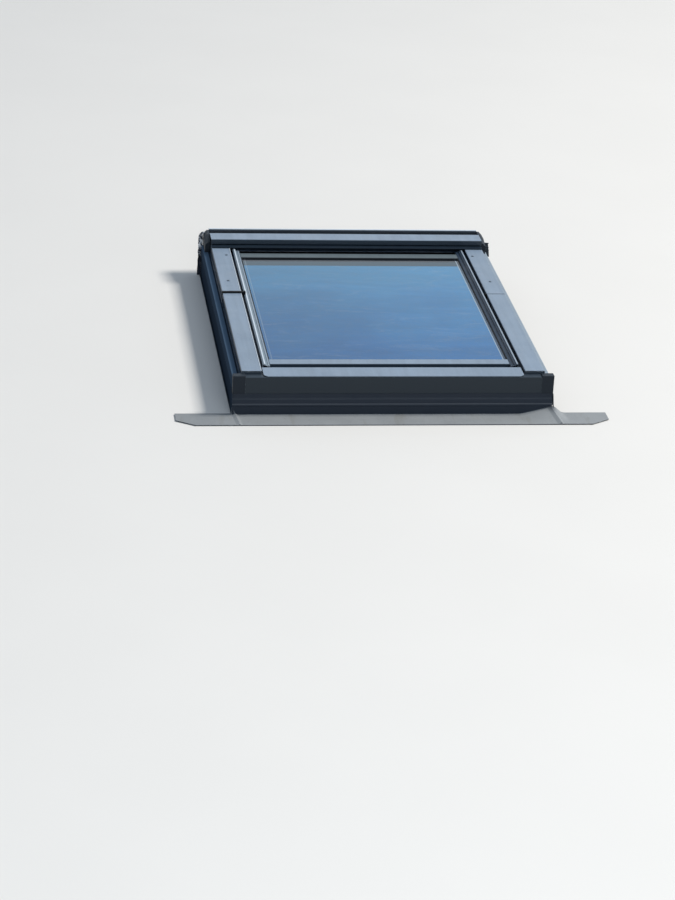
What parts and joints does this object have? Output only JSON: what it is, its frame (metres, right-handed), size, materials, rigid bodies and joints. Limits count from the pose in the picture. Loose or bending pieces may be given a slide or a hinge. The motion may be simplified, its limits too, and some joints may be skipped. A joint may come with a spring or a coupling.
{
  "type": "centre-pivot roof window",
  "caption": "Centre-pivot roof window with timber frame and sash, dark sheet-metal covers, sealed glazing, pivot hinges, ventilation bar and a flashing kit for plain tiles.",
  "frame": {"origin": "centre of the window frame on the plane of the roof battens, which is the underside of the mounting brackets", "axes": "+X to the right along the eaves, seen from outside; +Y up the slope; +Z square to the roof, out of the building"},
  "size_m": [1.0584, 1.139, 0.186],
  "materials": {
    "timber": "clear satin lacquer on laminated pine",
    "cladding": "satin dark grey paint on aluminium sheet",
    "flashing": "satin dark grey paint on thin sheet",
    "end_cap": "matt dark grey moulding",
    "rubber": "matt black",
    "glass": "clear float glass",
    "spacer": "dull aluminium",
    "zinc_steel": "zinc-plated",
    "bar_metal": "satin anodised",
    "fitting_metal": "light grey paint",
    "fitting_plastic": "matt grey moulding"
  },
  "bodies": {
    "frame": {"frame_bottom_rail": "timber", "frame_top_rail": "timber", "frame_stile_left": "timber", "frame_stile_right": "timber", "side_cladding_left": "cladding", "side_cladding_right": "cladding", "upper_cover_left": "cladding", "upper_cover_right": "cladding", "front_cover": "cladding", "hood": "cladding", "apron": "flashing", "apron_corner_left": "flashing", "apron_corner_right": "flashing", "side_flashing_left": "flashing", "side_flashing_right": "flashing", "top_flashing": "flashing", "front_cap_left": "end_cap", "front_cap_right": "end_cap", "hood_cap_left": "end_cap", "hood_cap_right": "end_cap", "frame_gaskets": "rubber", "cover_seals": "rubber", "hinge_housing_left": "zinc_steel", "hinge_housing_right": "zinc_steel", "mounting_bracket_lower_left": "zinc_steel", "mounting_bracket_lower_right": "zinc_steel", "mounting_bracket_upper_left": "zinc_steel", "mounting_bracket_upper_right": "zinc_steel", "striker_plate": "zinc_steel", "hood_carrier": "bar_metal", "bolt_bush": "fitting_plastic"},
    "sash": {"sash_bottom_rail": "timber", "sash_top_rail": "timber", "sash_stile_left": "timber", "sash_stile_right": "timber", "glazing_gasket": "rubber", "inner_pane": "glass", "glazing_spacer": "spacer", "outer_pane": "glass", "glazing_profile_left": "cladding", "glazing_profile_right": "cladding", "glazing_profile_bottom": "cladding", "glazing_profile_top": "cladding", "lower_cover_left": "cladding", "lower_cover_right": "cladding", "sash_bottom_cover": "cladding", "hinge_arm_left": "zinc_steel", "hinge_arm_right": "zinc_steel", "fitting_plate_left": "fitting_metal", "fitting_plate_right": "fitting_metal", "lock_case": "fitting_plastic", "bolt_case": "fitting_plastic"},
    "control_bar": {"control_bar": "bar_metal"},
    "vent_flap": {"vent_flap": "bar_metal"},
    "barrel_bolt": {"barrel_bolt": "zinc_steel"}
  },
  "joints": [
    {"name": "sash_pivot", "type": "hinge", "parent": "frame", "child": "sash", "pos_m": [0, 0.027, 0.136], "axis": [-1, 0, 0], "range_deg": [0, 160]},
    {"name": "bar_turn", "type": "hinge", "parent": "sash", "child": "control_bar", "pos_m": [0, 0.41, 0.066], "axis": [-1, 0, 0], "range_deg": [0, 40]},
    {"name": "flap_turn", "type": "hinge", "parent": "sash", "child": "vent_flap", "pos_m": [0, 0.41, 0.105], "axis": [-1, 0, 0], "range_deg": [0, 32]},
    {"name": "bolt_slide", "type": "slide", "parent": "sash", "child": "barrel_bolt", "axis": [1, 0, 0], "range_m": [0, 0.012]}
  ],
  "couplings": [
    {"joint": "flap_turn", "follows": "bar_turn", "ratio": 0.8}
  ]
}
